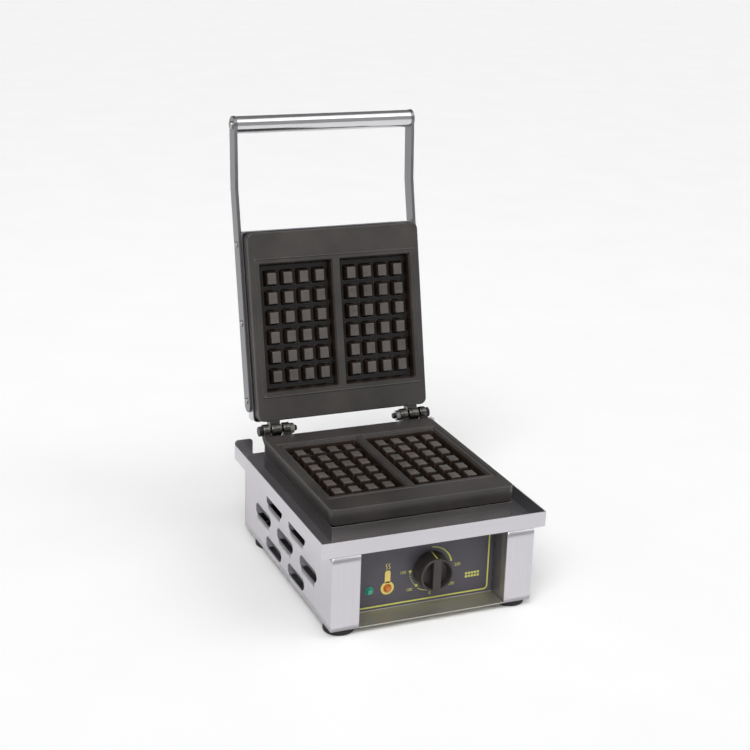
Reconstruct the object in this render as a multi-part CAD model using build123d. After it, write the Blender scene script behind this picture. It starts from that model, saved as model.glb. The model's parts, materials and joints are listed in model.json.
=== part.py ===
"""Counter-top waffle maker with a hinged cast plate lid, built as separate parts in millimetres.

+X runs to the operator's right, +Y to the back, +Z up. The origin lies on the table under the
middle of the machine with its lid open.
"""

import math
import os

from build123d import *

# Body
rim_width = 305.0
rim_depth = 340.0
rim_height = 20.5
rim_top = 131.0
tray_sheet = 1.2
tab_width = 26.0
tab_rise = 6.5
box_width = 277.0
box_depth = 333.5
box_setback = 1.0
box_bottom = 9.5
sheet = 1.0
pillar_width = 38.5
recess_depth = 35.0

# Feet
foot_radius = 20.0
foot_inset_x = 19.5
foot_front = 24.0
foot_rear = 284.0

# Cooking plates
plate_width = 252.0
plate_depth = 259.0
plate_thickness = 21.0
plate_front = 38.5
plate_top = 155.0
plate_corner = 9.0
cavity_width = 106.5
cavity_length = 177.5
cavity_depth = 15.0
front_land = 42.5
rib_width = 10.5
wall_draft = 12.0
stud_columns = 4
stud_rows = 6
stud_pitch_x = 23.4
stud_pitch_y = 27.0
stud_width = 12.3
stud_length = 15.5
stud_drop = 3.0
bead_offset = 6.0
groove_width = 2.5
groove_depth = 1.2
bead_width = 2.0
bead_height = 0.9

# Hinge
hinge_back = 311.0
hinge_z = 158.0
open_angle = 103.0
lid_edge = 12.5
lid_face = -1.2
lug_radius = 9.0
bolt_radius = 4.0
bolt_bore = 4.06
outer_lug = (113.0, 122.5)
inner_lug = (83.5, 93.5)
lid_lug = (96.3, 110.5)

# Lid
cover_half_width = 128.0
cover_low = 18.0
cover_high = 40.0
arm_thickness = 4.5
arm_half_width = 11.0
arm_start = 35.0
arm_bend = 333.0
arm_mid = 29.0
handle_reach = 417.0
handle_rise = 15.0
arm_end_radius = 12.5
handle_radius = 12.0
handle_bore = 10.5

# Controls
knob_x = 10.0
knob_z = 57.0
knob_back_radius = 24.5
knob_front_radius = 22.5
knob_depth = 21.0
lamp_z = 39.2
green_x = -74.0
amber_x = -49.0
lamp_radius = 5.6
shaft_radius = 3.0
shaft_bore = 3.05

# The origin is centred between the rim's front and the back of the open handle.
lean = math.radians(open_angle)
open_reach = hinge_back - handle_reach * math.cos(lean) + handle_rise * math.sin(lean) + arm_end_radius
rim_front = -open_reach / 2

tray_bottom = rim_top - rim_height
tray_floor = tray_bottom + tray_sheet
box_front = rim_front + box_setback
box_back = box_front + box_depth
label_y = box_front + recess_depth
opening_half = box_width / 2 - pillar_width
hinge_y = rim_front + hinge_back


def block(x0, x1, y0, y1, z0, z1):
    """A box between two corners."""
    return Pos((x0 + x1) / 2, (y0 + y1) / 2, (z0 + z1) / 2) * Box(x1 - x0, y1 - y0, z1 - z0)


def rod_x(radius, x0, x1, y=0.0, z=0.0):
    """A cylinder along X."""
    return Pos((x0 + x1) / 2, y, z) * Rot(0, 90, 0) * Cylinder(radius, x1 - x0)


def rod_y(radius, y0, y1, x=0.0, z=0.0):
    """A cylinder along Y."""
    return Pos(x, (y0 + y1) / 2, z) * Rot(90, 0, 0) * Cylinder(radius, y1 - y0)


def rod_z(radius, z0, z1, x=0.0, y=0.0):
    """A cylinder along Z."""
    return Pos(x, y, (z0 + z1) / 2) * Cylinder(radius, z1 - z0)


def mirror_x(shape):
    """The same shape on the other side of the middle plane."""
    return mirror(shape, about=Plane.YZ)


def rounded_block(x0, x1, y0, y1, z0, z1, radius):
    """A box with rounded upright edges."""
    outline = Pos((x0 + x1) / 2, (y0 + y1) / 2, z0) * RectangleRounded(x1 - x0, y1 - y0, radius)
    return extrude(outline, z1 - z0, dir=(0, 0, 1))


def tapered(width, length, height, draft):
    """A frustum on the XY plane, narrowing upwards."""
    return extrude(Rectangle(width, length), height, taper=draft)


def open_lid(shape):
    """Moves a lid part, drawn closed with the hinge line on the X axis, to its open place."""
    return Pos(0, hinge_y, hinge_z) * Rot(-open_angle, 0, 0) * shape


def cavity_centres():
    """The middle of both cavities, measured from the plate's front edge."""
    middle_x = (rib_width + cavity_width) / 2
    middle_y = front_land + cavity_length / 2
    return [(-middle_x, middle_y), (middle_x, middle_y)]


def stud_places():
    """The middle of every stud, measured from the plate's front edge."""
    places = []
    for middle_x, middle_y in cavity_centres():
        for column in range(stud_columns):
            for row in range(stud_rows):
                x = middle_x + (column - (stud_columns - 1) / 2) * stud_pitch_x
                y = middle_y + (row - (stud_rows - 1) / 2) * stud_pitch_y
                places.append((x, y))
    return places


def bead_ring(width, z0, z1):
    """A rectangular ring around both cavities, centred on the bead line."""
    half = rib_width / 2 + cavity_width + bead_offset
    near = front_land - bead_offset
    far = front_land + cavity_length + bead_offset
    outer = rounded_block(-half - width / 2, half + width / 2, near - width / 2, far + width / 2, z0, z1, 5.0)
    inner = rounded_block(-half + width / 2, half - width / 2, near + width / 2, far - width / 2, z0, z1, 3.0)
    return outer - inner


def plate_blank():
    """The outer block of a cooking plate, its face up at z = 0 and its front edge on the X axis."""
    body = rounded_block(-plate_width / 2, plate_width / 2, 0, plate_depth, -plate_thickness, 0, plate_corner)
    return fillet(body.edges().group_by(Axis.Z)[-1], 1.5)


def waffle_plate():
    """A cooking plate with its two pockets and their studs."""
    body = plate_blank()
    for x, y in cavity_centres():
        pocket = Pos(x, y, 0) * Rot(180, 0, 0) * tapered(cavity_width, cavity_length, cavity_depth, wall_draft)
        body -= pocket
    base_grow = 2 * (cavity_depth - stud_drop) * math.tan(math.radians(wall_draft))
    stud = tapered(stud_width + base_grow, stud_length + base_grow, cavity_depth - stud_drop, wall_draft)
    studs = [Pos(x, y, -cavity_depth) * stud for x, y in stud_places()]
    return body + studs


def lower_ear(x0, x1):
    """One hinge ear of the lower plate, reaching a little into the plate's back edge."""
    web = Polyline(
        (hinge_back - 16.0, 137.0),
        (hinge_back - 16.0, plate_top),
        (hinge_back - 8.7, plate_top),
        (hinge_back, hinge_z),
        (hinge_back + 3.4, hinge_z - 8.3),
        close=True,
    )
    profile = make_face(web) + Pos(hinge_back, hinge_z) * Circle(lug_radius)
    ear = extrude(Plane(origin=(x0, rim_front, 0), x_dir=(0, 1, 0), z_dir=(1, 0, 0)) * profile, x1 - x0)
    return ear - rod_x(bolt_bore, x0 - 1, x1 + 1, hinge_y, hinge_z)


def build_lower_plate():
    plate = Pos(0, rim_front + plate_front, plate_top) * waffle_plate()
    plate -= Pos(0, rim_front + plate_front, plate_top) * bead_ring(groove_width, -groove_depth, 1.0)
    for x in (-95.0, 95.0):
        for y in (60.0, 276.0):
            plate -= rod_z(2.5, 130.0, 139.5, x, rim_front + y)
    return plate


def build_lower_ears():
    """The four ears that stand on the lower plate's back edge, two on each side."""
    blank = Pos(0, rim_front + plate_front, plate_top) * plate_blank()
    spans = (outer_lug, inner_lug, (-outer_lug[1], -outer_lug[0]), (-inner_lug[1], -inner_lug[0]))
    return Compound([(lower_ear(x0, x1) - blank).solid() for x0, x1 in spans])


def lid_ear(x0, x1):
    """One hinge ear of the upper plate, drawn closed with the hinge line on the X axis."""
    web = Polyline((-15.0, lid_face), (-15.0, 17.0), (3.9, 8.1), (0.0, 0.0), (-8.5, lid_face), close=True)
    profile = make_face(web) + Circle(lug_radius)
    ear = extrude(Plane(origin=(x0, 0, 0), x_dir=(0, 1, 0), z_dir=(1, 0, 0)) * profile, x1 - x0)
    return ear - rod_x(bolt_bore, x0 - 1, x1 + 1)


def build_upper_plate():
    flipped = Rot(0, 180, 0) * waffle_plate()
    flipped += Rot(0, 180, 0) * bead_ring(bead_width, -0.5, bead_height)
    plate = Pos(0, -lid_edge - plate_depth, lid_face) * flipped
    back = lid_face + plate_thickness
    for x in (-95.0, 95.0):
        for y in (-35.0, -250.0):
            plate -= rod_z(2.5, back - 5.5, back + 1, x, y)
    return open_lid(plate)


def build_upper_ears():
    """The two ears that stand on the upper plate's back edge and turn on the hinge bolts."""
    blank = Pos(0, -lid_edge - plate_depth, lid_face) * Rot(0, 180, 0) * plate_blank()
    spans = (lid_lug, (-lid_lug[1], -lid_lug[0]))
    return open_lid(Compound([(lid_ear(x0, x1) - blank).solid() for x0, x1 in spans]))


def build_lid_cover():
    near = -lid_edge + 2.0
    far = -lid_edge - plate_depth - 2.0
    outer = block(-cover_half_width, cover_half_width, far, near, cover_low, cover_high)
    outer = fillet(outer.edges().filter_by(Axis.Z), 6.0)
    outer = fillet(outer.edges().group_by(Axis.Z)[-1], 2.5)
    hollow = block(
        -cover_half_width + sheet,
        cover_half_width - sheet,
        far + sheet,
        near - sheet,
        cover_low - 1,
        cover_high - sheet,
    )
    hollow = fillet(hollow.edges().filter_by(Axis.Z), 5.0)
    cover = outer - hollow
    for x in (-95.0, 95.0):
        for y in (-35.0, -250.0):
            cover -= rod_z(2.7, cover_high - 3, cover_high + 1, x, y)
    for y in arm_screw_reach():
        cover -= rod_x(2.1, -cover_half_width - 1, cover_half_width + 1, -y, arm_mid)
    return open_lid(cover)


def arm_screw_reach():
    """Distances of the arm screws from the hinge line."""
    return (40.0, 148.0, 256.0)


def build_arm(side):
    """A flat bar with a shallow bend, from the lid's side up to the handle."""
    bend_length = math.hypot(handle_reach - arm_bend, arm_mid - handle_rise)
    bend_angle = math.degrees(math.atan2(arm_mid - handle_rise, handle_reach - arm_bend))
    straight = Pos((arm_start + arm_bend) / 2, arm_mid) * SlotCenterToCenter(arm_bend - arm_start, 2 * arm_half_width)
    upper = Pos((arm_bend + handle_reach) / 2, (arm_mid + handle_rise) / 2) * Rot(0, 0, -bend_angle)
    upper = upper * SlotCenterToCenter(bend_length, 2 * arm_half_width)
    profile = straight + upper + Pos(handle_reach, handle_rise) * Circle(arm_end_radius)
    for reach in arm_screw_reach():
        profile -= Pos(reach, arm_mid) * Circle(2.1)
    profile -= Pos(handle_reach, handle_rise) * Circle(3.1)
    frame = Plane(origin=(cover_half_width, 0, 0), x_dir=(0, -1, 0), z_dir=(-1, 0, 0))
    bar = Pos(arm_thickness, 0, 0) * extrude(frame * profile, arm_thickness)
    rims = bar.faces().filter_by(Axis.X).sort_by(Axis.X)[-1].outer_wire().edges()
    bar = chamfer(rims, 0.5)
    if side < 0:
        bar = mirror_x(bar)
    return open_lid(bar)


def button_screw(x, y, z, head_radius, head_height, shank_radius, shank_length):
    """A domed screw along X, its head's seat at x, pointing inwards."""
    head = rod_x(head_radius, x, x + head_height, y, z)
    head = fillet(head.edges().sort_by(Axis.X)[-1], head_height * 0.6)
    head -= Pos(x + head_height, y, z) * Box(1.6, 2 * head_radius, 1.1)
    return head + rod_x(shank_radius, x - shank_length, x, y, z)


def both_sides(shape):
    """The shape and its mirror image as two loose solids."""
    return [shape, mirror_x(shape)]


def build_arm_screws():
    seat = cover_half_width + arm_thickness
    screws = []
    for reach in arm_screw_reach():
        screws += both_sides(button_screw(seat, -reach, arm_mid, 4.2, 2.2, 2.0, arm_thickness + 4.0))
    return open_lid(Compound(screws))


def build_handle_tube():
    tube = rod_x(handle_radius, -cover_half_width, cover_half_width, -handle_reach, handle_rise)
    tube -= rod_x(handle_bore, -cover_half_width - 1, cover_half_width + 1, -handle_reach, handle_rise)
    return open_lid(tube)


def build_handle_plugs():
    plug = rod_x(handle_bore, cover_half_width - 14.0, cover_half_width, -handle_reach, handle_rise)
    plug -= rod_x(2.5, cover_half_width - 15.0, cover_half_width + 1, -handle_reach, handle_rise)
    return open_lid(Compound(both_sides(plug)))


def build_handle_screws():
    seat = cover_half_width + arm_thickness
    screw = button_screw(seat, -handle_reach, handle_rise, 5.5, 3.0, 2.5, arm_thickness + 12.0)
    return open_lid(Compound(both_sides(screw)))


def serpentine(width, length, runs, radius, height):
    """A round heating rod laid in runs, with two ends turned to the side."""
    pitch = length / (runs - 1)
    points = []
    for run in range(runs):
        y = -length / 2 + run * pitch
        ends = (-width / 2, width / 2)
        if run % 2:
            ends = (width / 2, -width / 2)
        points += [(ends[0], y, height), (ends[1], y, height)]
    path = FilletPolyline(*points, radius=pitch / 2 - 0.6)
    start = Plane(origin=path @ 0, z_dir=path % 0)
    return sweep(start * Circle(radius), path=path)


def build_lower_element():
    middle = rim_front + plate_front + plate_depth / 2
    rod = serpentine(150.0, 150.0, 6, 3.2, plate_top - plate_thickness - 3.3)
    return Pos(0, middle, 0) * rod


def build_lower_clamp():
    middle = rim_front + plate_front + plate_depth / 2
    top = plate_top - plate_thickness - 6.6
    plate = Pos(0, middle, 0) * block(-88, 88, -88, 88, top - 2.0, top)
    return plate - rod_z(7.0, top - 3, top + 1, 0, middle)


def build_lower_insulation():
    middle = rim_front + plate_front + plate_depth / 2
    top = plate_top - plate_thickness - 8.7
    return Pos(0, middle, 0) * block(-88, 88, -86, 86, top - 9.0, top)


def build_plate_skirt():
    """A folded frame that closes the gap between the tray and the lower plate."""
    half = plate_width / 2 - 1.5
    front = rim_front + plate_front + 1.5
    back = rim_front + plate_front + plate_depth - 1.5
    outer = rounded_block(-half, half, front, back, tray_floor, plate_top - plate_thickness - 2.2, 2.0)
    inner = rounded_block(-half + 1, half - 1, front + 1, back - 1, 100.0, plate_top, 1.2)
    return outer - inner


def build_plate_posts():
    """Studs that hold the lower plate above the tray, each with a collar and a nut."""
    posts = []
    for x in (-95.0, 95.0):
        for y in (60.0, 276.0):
            post = rod_z(2.5, tray_bottom - 10.0, 139.0, x, rim_front + y)
            post += rod_z(6.0, tray_floor, plate_top - plate_thickness, x, rim_front + y)
            nut = Pos(x, rim_front + y, tray_bottom - 5.0) * extrude(RegularPolygon(5.0, 6), 5.0)
            posts.append(post + nut)
    return Compound(posts)


def build_tray():
    """The shallow pan that carries the lower plate, with two taller tabs at the back corners."""
    half = rim_width / 2
    back = rim_front + rim_depth
    pan = block(-half, half, rim_front, back, tray_bottom, rim_top)
    pan -= block(-half + tray_sheet, half - tray_sheet, rim_front + tray_sheet, back - tray_sheet, tray_floor, 200)
    pan -= block(-half + tab_width, half - tab_width, back - 5, back + 5, tray_floor + 3.0, 200)
    for side in (-1, 1):
        tab = block(half - tab_width, half, back - tray_sheet, back, rim_top - 1, rim_top + tab_rise)
        tab = fillet(tab.edges().filter_by(Axis.Y).group_by(Axis.Z)[-1], 5.0)
        pan += tab if side > 0 else mirror_x(tab)
    for x in (-95.0, 95.0):
        for y in (60.0, 276.0):
            pan -= rod_z(2.6, tray_bottom - 1, tray_floor + 1, x, rim_front + y)
    pan -= block(-60, -20, rim_front + 250, rim_front + 280, tray_bottom - 1, tray_floor + 1)
    pan -= rod_z(4.0, tray_bottom - 1, tray_floor + 1, 40.0, rim_front + 70)
    return pan


def louvre_outline(width, height, radius):
    """A slot outline with four rounded corners, in a YZ plane."""
    return RectangleRounded(width, height, radius)


def louvre(y, z):
    """The sheet of one pressed-in louvre and the hole it leaves, at x = 0 and pressed to +X."""
    width, height, depth, skin, corner = 61.0, 16.0, 8.0, 0.9, 7.5
    lean_angle = math.degrees(math.atan2(depth, height))
    frame = Plane(origin=(0, y, z), x_dir=(0, 1, 0), z_dir=(1, 0, 0))
    outer = extrude(frame * louvre_outline(width, height, corner), depth + 3)
    inner = extrude(frame * louvre_outline(width - 2 * skin, height - 2 * skin, corner - skin), depth + 3)
    inner += extrude(frame * (Pos(0, -height / 2) * Rectangle(width - 2 * corner, 4)), depth + 3)
    tool = Box(60, 100, 60)
    ramp = Pos(0, y, z + height / 2) * Rot(0, -lean_angle, 0)
    outer -= ramp * (Pos(30, 0, 0) * tool)
    inner -= ramp * (Pos(30 - skin, 0, 0) * tool)
    hole = extrude(frame * louvre_outline(width - 2 * skin, height - 2 * skin, corner - skin), 6.0, both=True)
    return outer - inner, hole


def louvre_places():
    """Middles of the side vents: two, three and two in staggered rows."""
    places = []
    for row, columns in ((0, (1, 3)), (1, (0, 2, 4)), (2, (1, 3))):
        for column in columns:
            places.append((rim_front + 83.0 + 43.5 * column, rim_top - 41.0 - 31.5 * row))
    return places


def build_side_panel(side):
    """A folded side with its front pillar, the recess wall and a rear flange."""
    half = box_width / 2
    z0, z1 = box_bottom, tray_bottom
    panel = block(-half, -half + sheet, box_front, box_back - sheet, z0, z1)
    panel += block(-half, -opening_half, box_front, box_front + sheet, z0, z1)
    panel += block(-opening_half - sheet, -opening_half, box_front, label_y, z0, z1)
    panel += block(-half, -half + 14, box_back - 2 * sheet, box_back - sheet, z0, z1)
    panel += block(-opening_half - 12, -opening_half, label_y - sheet, label_y, z0 + 4, z1 - 4)
    panel = fillet(panel.edges().filter_by(Axis.Z).sort_by(Axis.Y).group_by(Axis.Y)[0], 0.8)
    for y, z in louvre_places():
        sheet_part, hole = louvre(y, z)
        panel -= Pos(-half, 0, 0) * hole
        panel += Pos(-half, 0, 0) * sheet_part
    for y in (150.5, 177.5):
        panel -= rod_x(1.6, -half - 1, -half + 3, rim_front + y, rim_top - 86.0)
    for z in (30.0, 90.0):
        panel -= rod_y(1.6, box_back - 4, box_back, -half + 8, z)
    if side > 0:
        panel = mirror_x(panel)
    return panel


def build_panel_rivets():
    half = box_width / 2
    rivets = []
    for y in (150.5, 177.5):
        head = rod_x(2.6, half, half + 0.7, rim_front + y, rim_top - 86.0)
        head = fillet(head.edges().sort_by(Axis.X)[-1], 0.4)
        shank = rod_x(1.5, half - 2.5, half, rim_front + y, rim_top - 86.0)
        rivets += both_sides(head + shank)
    return Compound(rivets)


def build_control_panel():
    """The sunk front panel with the floor of its recess."""
    half = opening_half
    panel = block(-half, half, label_y, label_y + sheet, box_bottom, tray_bottom)
    panel += block(-half, half, box_front, label_y + sheet, box_bottom, box_bottom + sheet)
    panel -= rod_y(5.0, label_y - 1, label_y + 2, knob_x, knob_z)
    for x in (green_x, amber_x):
        panel -= rod_y(4.6, label_y - 1, label_y + 2, x, lamp_z)
    return panel


def build_control_label():
    half = opening_half - 0.3
    label = block(-half, half, label_y - 0.5, label_y, box_bottom + 2.0, tray_bottom - 0.5)
    label -= rod_y(5.0, label_y - 1, label_y + 1, knob_x, knob_z)
    for x in (green_x, amber_x):
        label -= rod_y(4.6, label_y - 1, label_y + 1, x, lamp_z)
    return label


def build_lamp(x):
    """A faceted pilot lens with its barrel behind the panel."""
    seat = label_y - 0.5
    rim = rod_y(lamp_radius, seat - 1.2, seat, x, lamp_z)
    frame = Plane(origin=(x, seat - 1.2, lamp_z), x_dir=(1, 0, 0), z_dir=(0, -1, 0))
    crown = extrude(frame * RegularPolygon(lamp_radius - 0.4, 8), 3.2, taper=28)
    barrel = rod_y(4.4, seat, label_y + 14.0, x, lamp_z)
    return rim + crown + barrel


def build_lamp_bodies():
    """The sockets that hold both pilot lenses behind the panel."""
    sockets = []
    for x in (green_x, amber_x):
        socket = block(x - 7, x + 7, label_y + sheet, label_y + 26.0, lamp_z - 7, lamp_z + 7)
        sockets.append(socket - rod_y(4.5, label_y, label_y + 14.2, x, lamp_z))
    return Compound(sockets)


def knob_blank(y0, y1, back_radius, front_radius):
    """A round body along Y that narrows towards the operator."""
    frame = Plane(origin=(knob_x, y1, knob_z), x_dir=(1, 0, 0), z_dir=(0, -1, 0))
    return loft([frame * Circle(back_radius), frame.offset(y1 - y0) * Circle(front_radius)])


def build_knob():
    """A round knob with a full-length grip bar between two sunk halves."""
    back = label_y - 1.2
    front = back - knob_depth
    knob = knob_blank(front, back, knob_back_radius, knob_front_radius)
    knob = fillet(knob.edges().sort_by(Axis.Y)[0], 1.6)
    well = knob_blank(front - 1, front + 10.0, knob_front_radius - 4.6, knob_front_radius - 2.6)
    bar = block(knob_x - 5.5, knob_x + 5.5, front - 2, back, knob_z - 40, knob_z + 40)
    knob -= well - bar
    knob -= rod_y(knob_back_radius - 4.0, back - 5.0, back + 1, knob_x, knob_z)
    knob += rod_y(6.5, back - 6.0, back, knob_x, knob_z)
    knob -= rod_y(shaft_radius, back - 14.0, back + 1, knob_x, knob_z)
    knob -= pointer_bar()
    return knob


def pointer_bar():
    """The inlaid index along the knob's flank at twelve o'clock."""
    back = label_y - 1.2
    front = back - knob_depth
    low = knob_z + knob_front_radius - 1.4
    return block(knob_x - 0.9, knob_x + 0.9, front + 2.6, back - 0.8, low, knob_z + knob_back_radius + 3)


def build_knob_pointer():
    back = label_y - 1.2
    front = back - knob_depth
    skin = knob_blank(front, back, knob_back_radius + 0.15, knob_front_radius + 0.15)
    return pointer_bar() & skin


def build_shaft():
    return rod_y(shaft_radius, label_y - 15.2, label_y + 14.0, knob_x, knob_z)


def build_thermostat():
    """The control behind the dial, with its mounting bracket."""
    body = block(knob_x - 19, knob_x + 19, label_y + 4.0, label_y + 32.0, knob_z - 17, knob_z + 17)
    body += block(knob_x - 24, knob_x + 24, label_y + sheet, label_y + 4.0, knob_z - 10, knob_z + 10)
    body += rod_x(3.0, knob_x + 18, knob_x + 24, label_y + 24, knob_z)
    return body - rod_y(shaft_bore, label_y, label_y + 14.5, knob_x, knob_z)


def build_capillary():
    """The sensing bulb under the lower plate and its thin tube down to the thermostat."""
    tube_x = knob_x + 24.0
    path = FilletPolyline(
        (tube_x, label_y + 24, knob_z),
        (40.0, label_y + 24, knob_z),
        (40.0, label_y + 24, 90.0),
        (40.0, rim_front + 70, 90.0),
        (40.0, rim_front + 70, 115.0),
        radius=1.8,
    )
    start = Plane(origin=path @ 0, z_dir=path % 0)
    tube = sweep(start * Circle(0.9), path=path)
    riser = rod_z(0.9, 114.5, 119.0, 40.0, rim_front + 70)
    bulb = rod_x(2.4, 0.0, 60.0, rim_front + 70, 119.0)
    return tube + riser + bulb


def build_back_panel():
    half = box_width / 2
    panel = block(-half, half, box_back - sheet, box_back, box_bottom, tray_bottom)
    for x in (-84.0, -28.0, 28.0):
        for z in (70.0, 82.0, 94.0):
            slot = Plane(origin=(x, box_back - 3, z), x_dir=(1, 0, 0), z_dir=(0, 1, 0)) * SlotOverall(40.0, 4.0)
            panel -= extrude(slot, 6.0)
    for x in (-half + 8, half - 8):
        for z in (30.0, 90.0):
            panel -= rod_y(1.6, box_back - 4, box_back + 1, x, z)
    return panel - rod_y(8.0, box_back - 4, box_back + 1, 90.0, 38.0)


def build_back_screws():
    screws = []
    for z in (30.0, 90.0):
        x = box_width / 2 - 8
        head = rod_y(3.4, box_back, box_back + 1.8, x, z)
        head = fillet(head.edges().sort_by(Axis.Y)[-1], 1.0)
        head -= Pos(x, box_back + 1.8, z) * Box(5.0, 1.4, 1.0)
        screws += both_sides(head + rod_y(1.5, box_back - 5, box_back, x, z))
    return Compound(screws)


def build_cable_gland():
    """The empty inlet for the supply cord, through the back panel."""
    x, z = 90.0, 38.0
    gland = rod_y(7.9, box_back - 12, box_back + 4, x, z)
    collar = Plane(origin=(x, box_back, z), x_dir=(1, 0, 0), z_dir=(0, 1, 0)) * RegularPolygon(11.5, 6)
    gland += extrude(collar, 5.0)
    gland += rod_y(9.4, box_back + 5, box_back + 13, x, z)
    lock = Plane(origin=(x, box_back - 6, z), x_dir=(1, 0, 0), z_dir=(0, 1, 0)) * RegularPolygon(11.0, 6)
    gland += extrude(lock, 5.0)
    return gland - rod_y(4.5, box_back - 13, box_back + 14, x, z)


def build_terminal_block():
    """Three screw terminals on the floor of the box."""
    y = box_back - 95.0
    bar = block(60, 108, y - 9, y + 9, box_bottom + sheet, box_bottom + sheet + 16)
    for x in (68.0, 84.0, 100.0):
        bar -= rod_z(3.0, box_bottom + 10, box_bottom + 20, x, y)
        bar -= rod_y(2.2, y - 10, y + 10, x, box_bottom + 6.5)
    return bar


def build_bottom_plate():
    half = box_width / 2 - sheet
    front = box_front + sheet
    plate = block(-half, half, front, box_back - 2 * sheet, box_bottom, box_bottom + sheet)
    plate -= block(-opening_half - sheet, opening_half + sheet, front - 1, label_y + sheet, 0, 20)
    for x in (-60.0, 0.0, 60.0):
        for y in (110.0, 126.0, 142.0, 220.0, 236.0):
            slot = Pos(x, rim_front + y, box_bottom - 1) * SlotOverall(44.0, 5.0)
            plate -= extrude(slot, 4.0)
    for x, y in foot_places():
        plate -= rod_z(2.6, box_bottom - 1, box_bottom + 3, x, y)
    return plate


def foot_places():
    x = box_width / 2 - foot_inset_x
    return [(sx * x, rim_front + y) for sx in (-1, 1) for y in (foot_front, foot_rear)]


def build_feet():
    feet = []
    for x, y in foot_places():
        foot = rod_z(foot_radius, 0, box_bottom, x, y)
        foot = chamfer(foot.edges().sort_by(Axis.Z)[0], 1.5)
        foot -= rod_z(6.0, -1, 4.5, x, y)
        feet.append(foot - rod_z(2.6, -1, box_bottom + 1, x, y))
    return Compound(feet)


def build_foot_screws():
    screws = []
    for x, y in foot_places():
        screw = rod_z(5.0, 1.5, 4.5, x, y) + rod_z(2.4, 4.5, box_bottom + 7, x, y)
        nut = Pos(x, y, box_bottom + sheet) * extrude(RegularPolygon(4.6, 6), 4.0)
        screws.append(screw + nut)
    return Compound(screws)


def hexagon_x(radius, x0, x1):
    """A hexagonal prism along X on the hinge line."""
    frame = Plane(origin=(x0, hinge_y, hinge_z), x_dir=(0, 1, 0), z_dir=(1, 0, 0))
    return extrude(frame * RegularPolygon(radius, 6), x1 - x0)


def build_hinge_bolts():
    bolt = rod_x(bolt_radius, 72.5, outer_lug[1], hinge_y, hinge_z)
    bolt = chamfer(bolt.edges().sort_by(Axis.X)[0], 0.8)
    return Compound(both_sides(bolt + hexagon_x(7.5, outer_lug[1], outer_lug[1] + 5.5)))


def build_hinge_nuts():
    nut = hexagon_x(7.5, inner_lug[0] - 6.5, inner_lug[0])
    return Compound(both_sides(nut - rod_x(bolt_radius, 70, 90, hinge_y, hinge_z)))


def upper_stack(z0, z1, half_x, half_y):
    """A flat layer behind the upper plate, drawn closed."""
    middle = -lid_edge - plate_depth / 2
    return block(-half_x, half_x, middle - half_y, middle + half_y, z0, z1)


def build_upper_element():
    back = lid_face + plate_thickness
    rod = serpentine(150.0, 150.0, 6, 3.2, back + 3.3)
    return open_lid(Pos(0, -lid_edge - plate_depth / 2, 0) * rod)


def build_upper_clamp():
    low = lid_face + plate_thickness + 6.6
    return open_lid(upper_stack(low, low + 2.0, 88, 88))


def build_upper_insulation():
    low = lid_face + plate_thickness + 8.7
    return open_lid(upper_stack(low, low + 8.0, 88, 86))


def build_cover_screws():
    """Screws through the lid cover into the upper plate, each with a spacer sleeve."""
    screws = []
    back = lid_face + plate_thickness
    for x in (-95.0, 95.0):
        for y in (-35.0, -250.0):
            screw = rod_z(2.5, back - 5, cover_high, x, y) + rod_z(5.0, back, cover_high - sheet, x, y)
            head = rod_z(5.0, cover_high, cover_high + 2.6, x, y)
            screws.append(screw + fillet(head.edges().sort_by(Axis.Z)[-1], 1.4))
    return open_lid(Compound(screws))


parts = {
    "tray_pan": build_tray(),
    "left_side_panel": build_side_panel(-1),
    "right_side_panel": build_side_panel(1),
    "panel_rivets": build_panel_rivets(),
    "control_panel": build_control_panel(),
    "control_label": build_control_label(),
    "green_lamp": build_lamp(green_x),
    "amber_lamp": build_lamp(amber_x),
    "lamp_sockets": build_lamp_bodies(),
    "thermostat": build_thermostat(),
    "capillary_bulb": build_capillary(),
    "thermostat_shaft": build_shaft(),
    "knob": build_knob(),
    "knob_pointer": build_knob_pointer(),
    "back_panel": build_back_panel(),
    "back_screws": build_back_screws(),
    "cable_gland": build_cable_gland(),
    "terminal_block": build_terminal_block(),
    "bottom_plate": build_bottom_plate(),
    "rubber_feet": build_feet(),
    "foot_screws": build_foot_screws(),
    "plate_skirt": build_plate_skirt(),
    "plate_posts": build_plate_posts(),
    "lower_plate": build_lower_plate(),
    "lower_hinge_ears": build_lower_ears(),
    "lower_element": build_lower_element(),
    "lower_clamp": build_lower_clamp(),
    "lower_insulation": build_lower_insulation(),
    "hinge_bolts": build_hinge_bolts(),
    "hinge_nuts": build_hinge_nuts(),
    "upper_plate": build_upper_plate(),
    "upper_hinge_ears": build_upper_ears(),
    "upper_element": build_upper_element(),
    "upper_clamp": build_upper_clamp(),
    "upper_insulation": build_upper_insulation(),
    "lid_cover": build_lid_cover(),
    "cover_screws": build_cover_screws(),
    "left_arm": build_arm(-1),
    "right_arm": build_arm(1),
    "arm_screws": build_arm_screws(),
    "handle_tube": build_handle_tube(),
    "handle_plugs": build_handle_plugs(),
    "handle_screws": build_handle_screws(),
}

os.makedirs("parts", exist_ok=True)
for name, shape in parts.items():
    export_step(shape, f"parts/{name}.step")
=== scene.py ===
import json
import math

import bmesh
import bpy
import numpy as np
from mathutils import Matrix, Vector

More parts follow.
